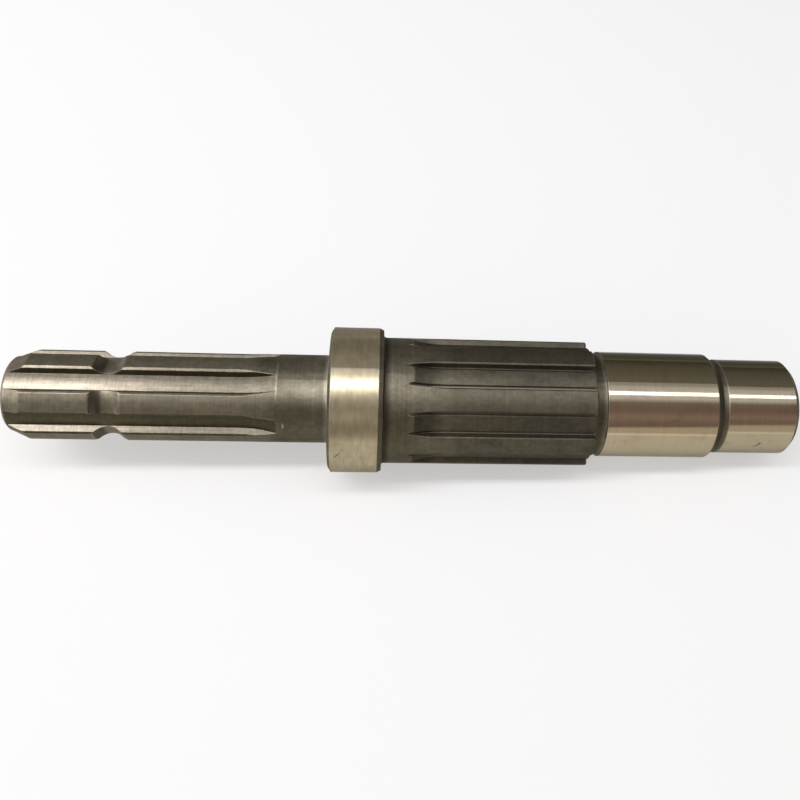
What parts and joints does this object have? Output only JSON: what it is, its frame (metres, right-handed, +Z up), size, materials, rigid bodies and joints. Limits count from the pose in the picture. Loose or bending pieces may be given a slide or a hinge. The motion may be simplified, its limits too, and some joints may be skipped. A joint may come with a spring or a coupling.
{
  "type": "power take-off shaft end",
  "caption": "Solid steel power take-off shaft end: splined drive end with a locking groove, plain neck, collar, splined hub seat and stepped ground journals.",
  "frame": {"origin": "on the resting surface, under the middle of the shaft's box", "axes": "+X towards the journals and within 3 degrees of the shaft's axis, +Z up, shaft at rest"},
  "size_m": [0.3092, 0.0574, 0.0584],
  "materials": {
    "steel": "machined: ground collar and journals, turned neck, milled splines"
  },
  "bodies": {
    "root": {"pto_shaft": "steel"}
  },
  "joints": []
}
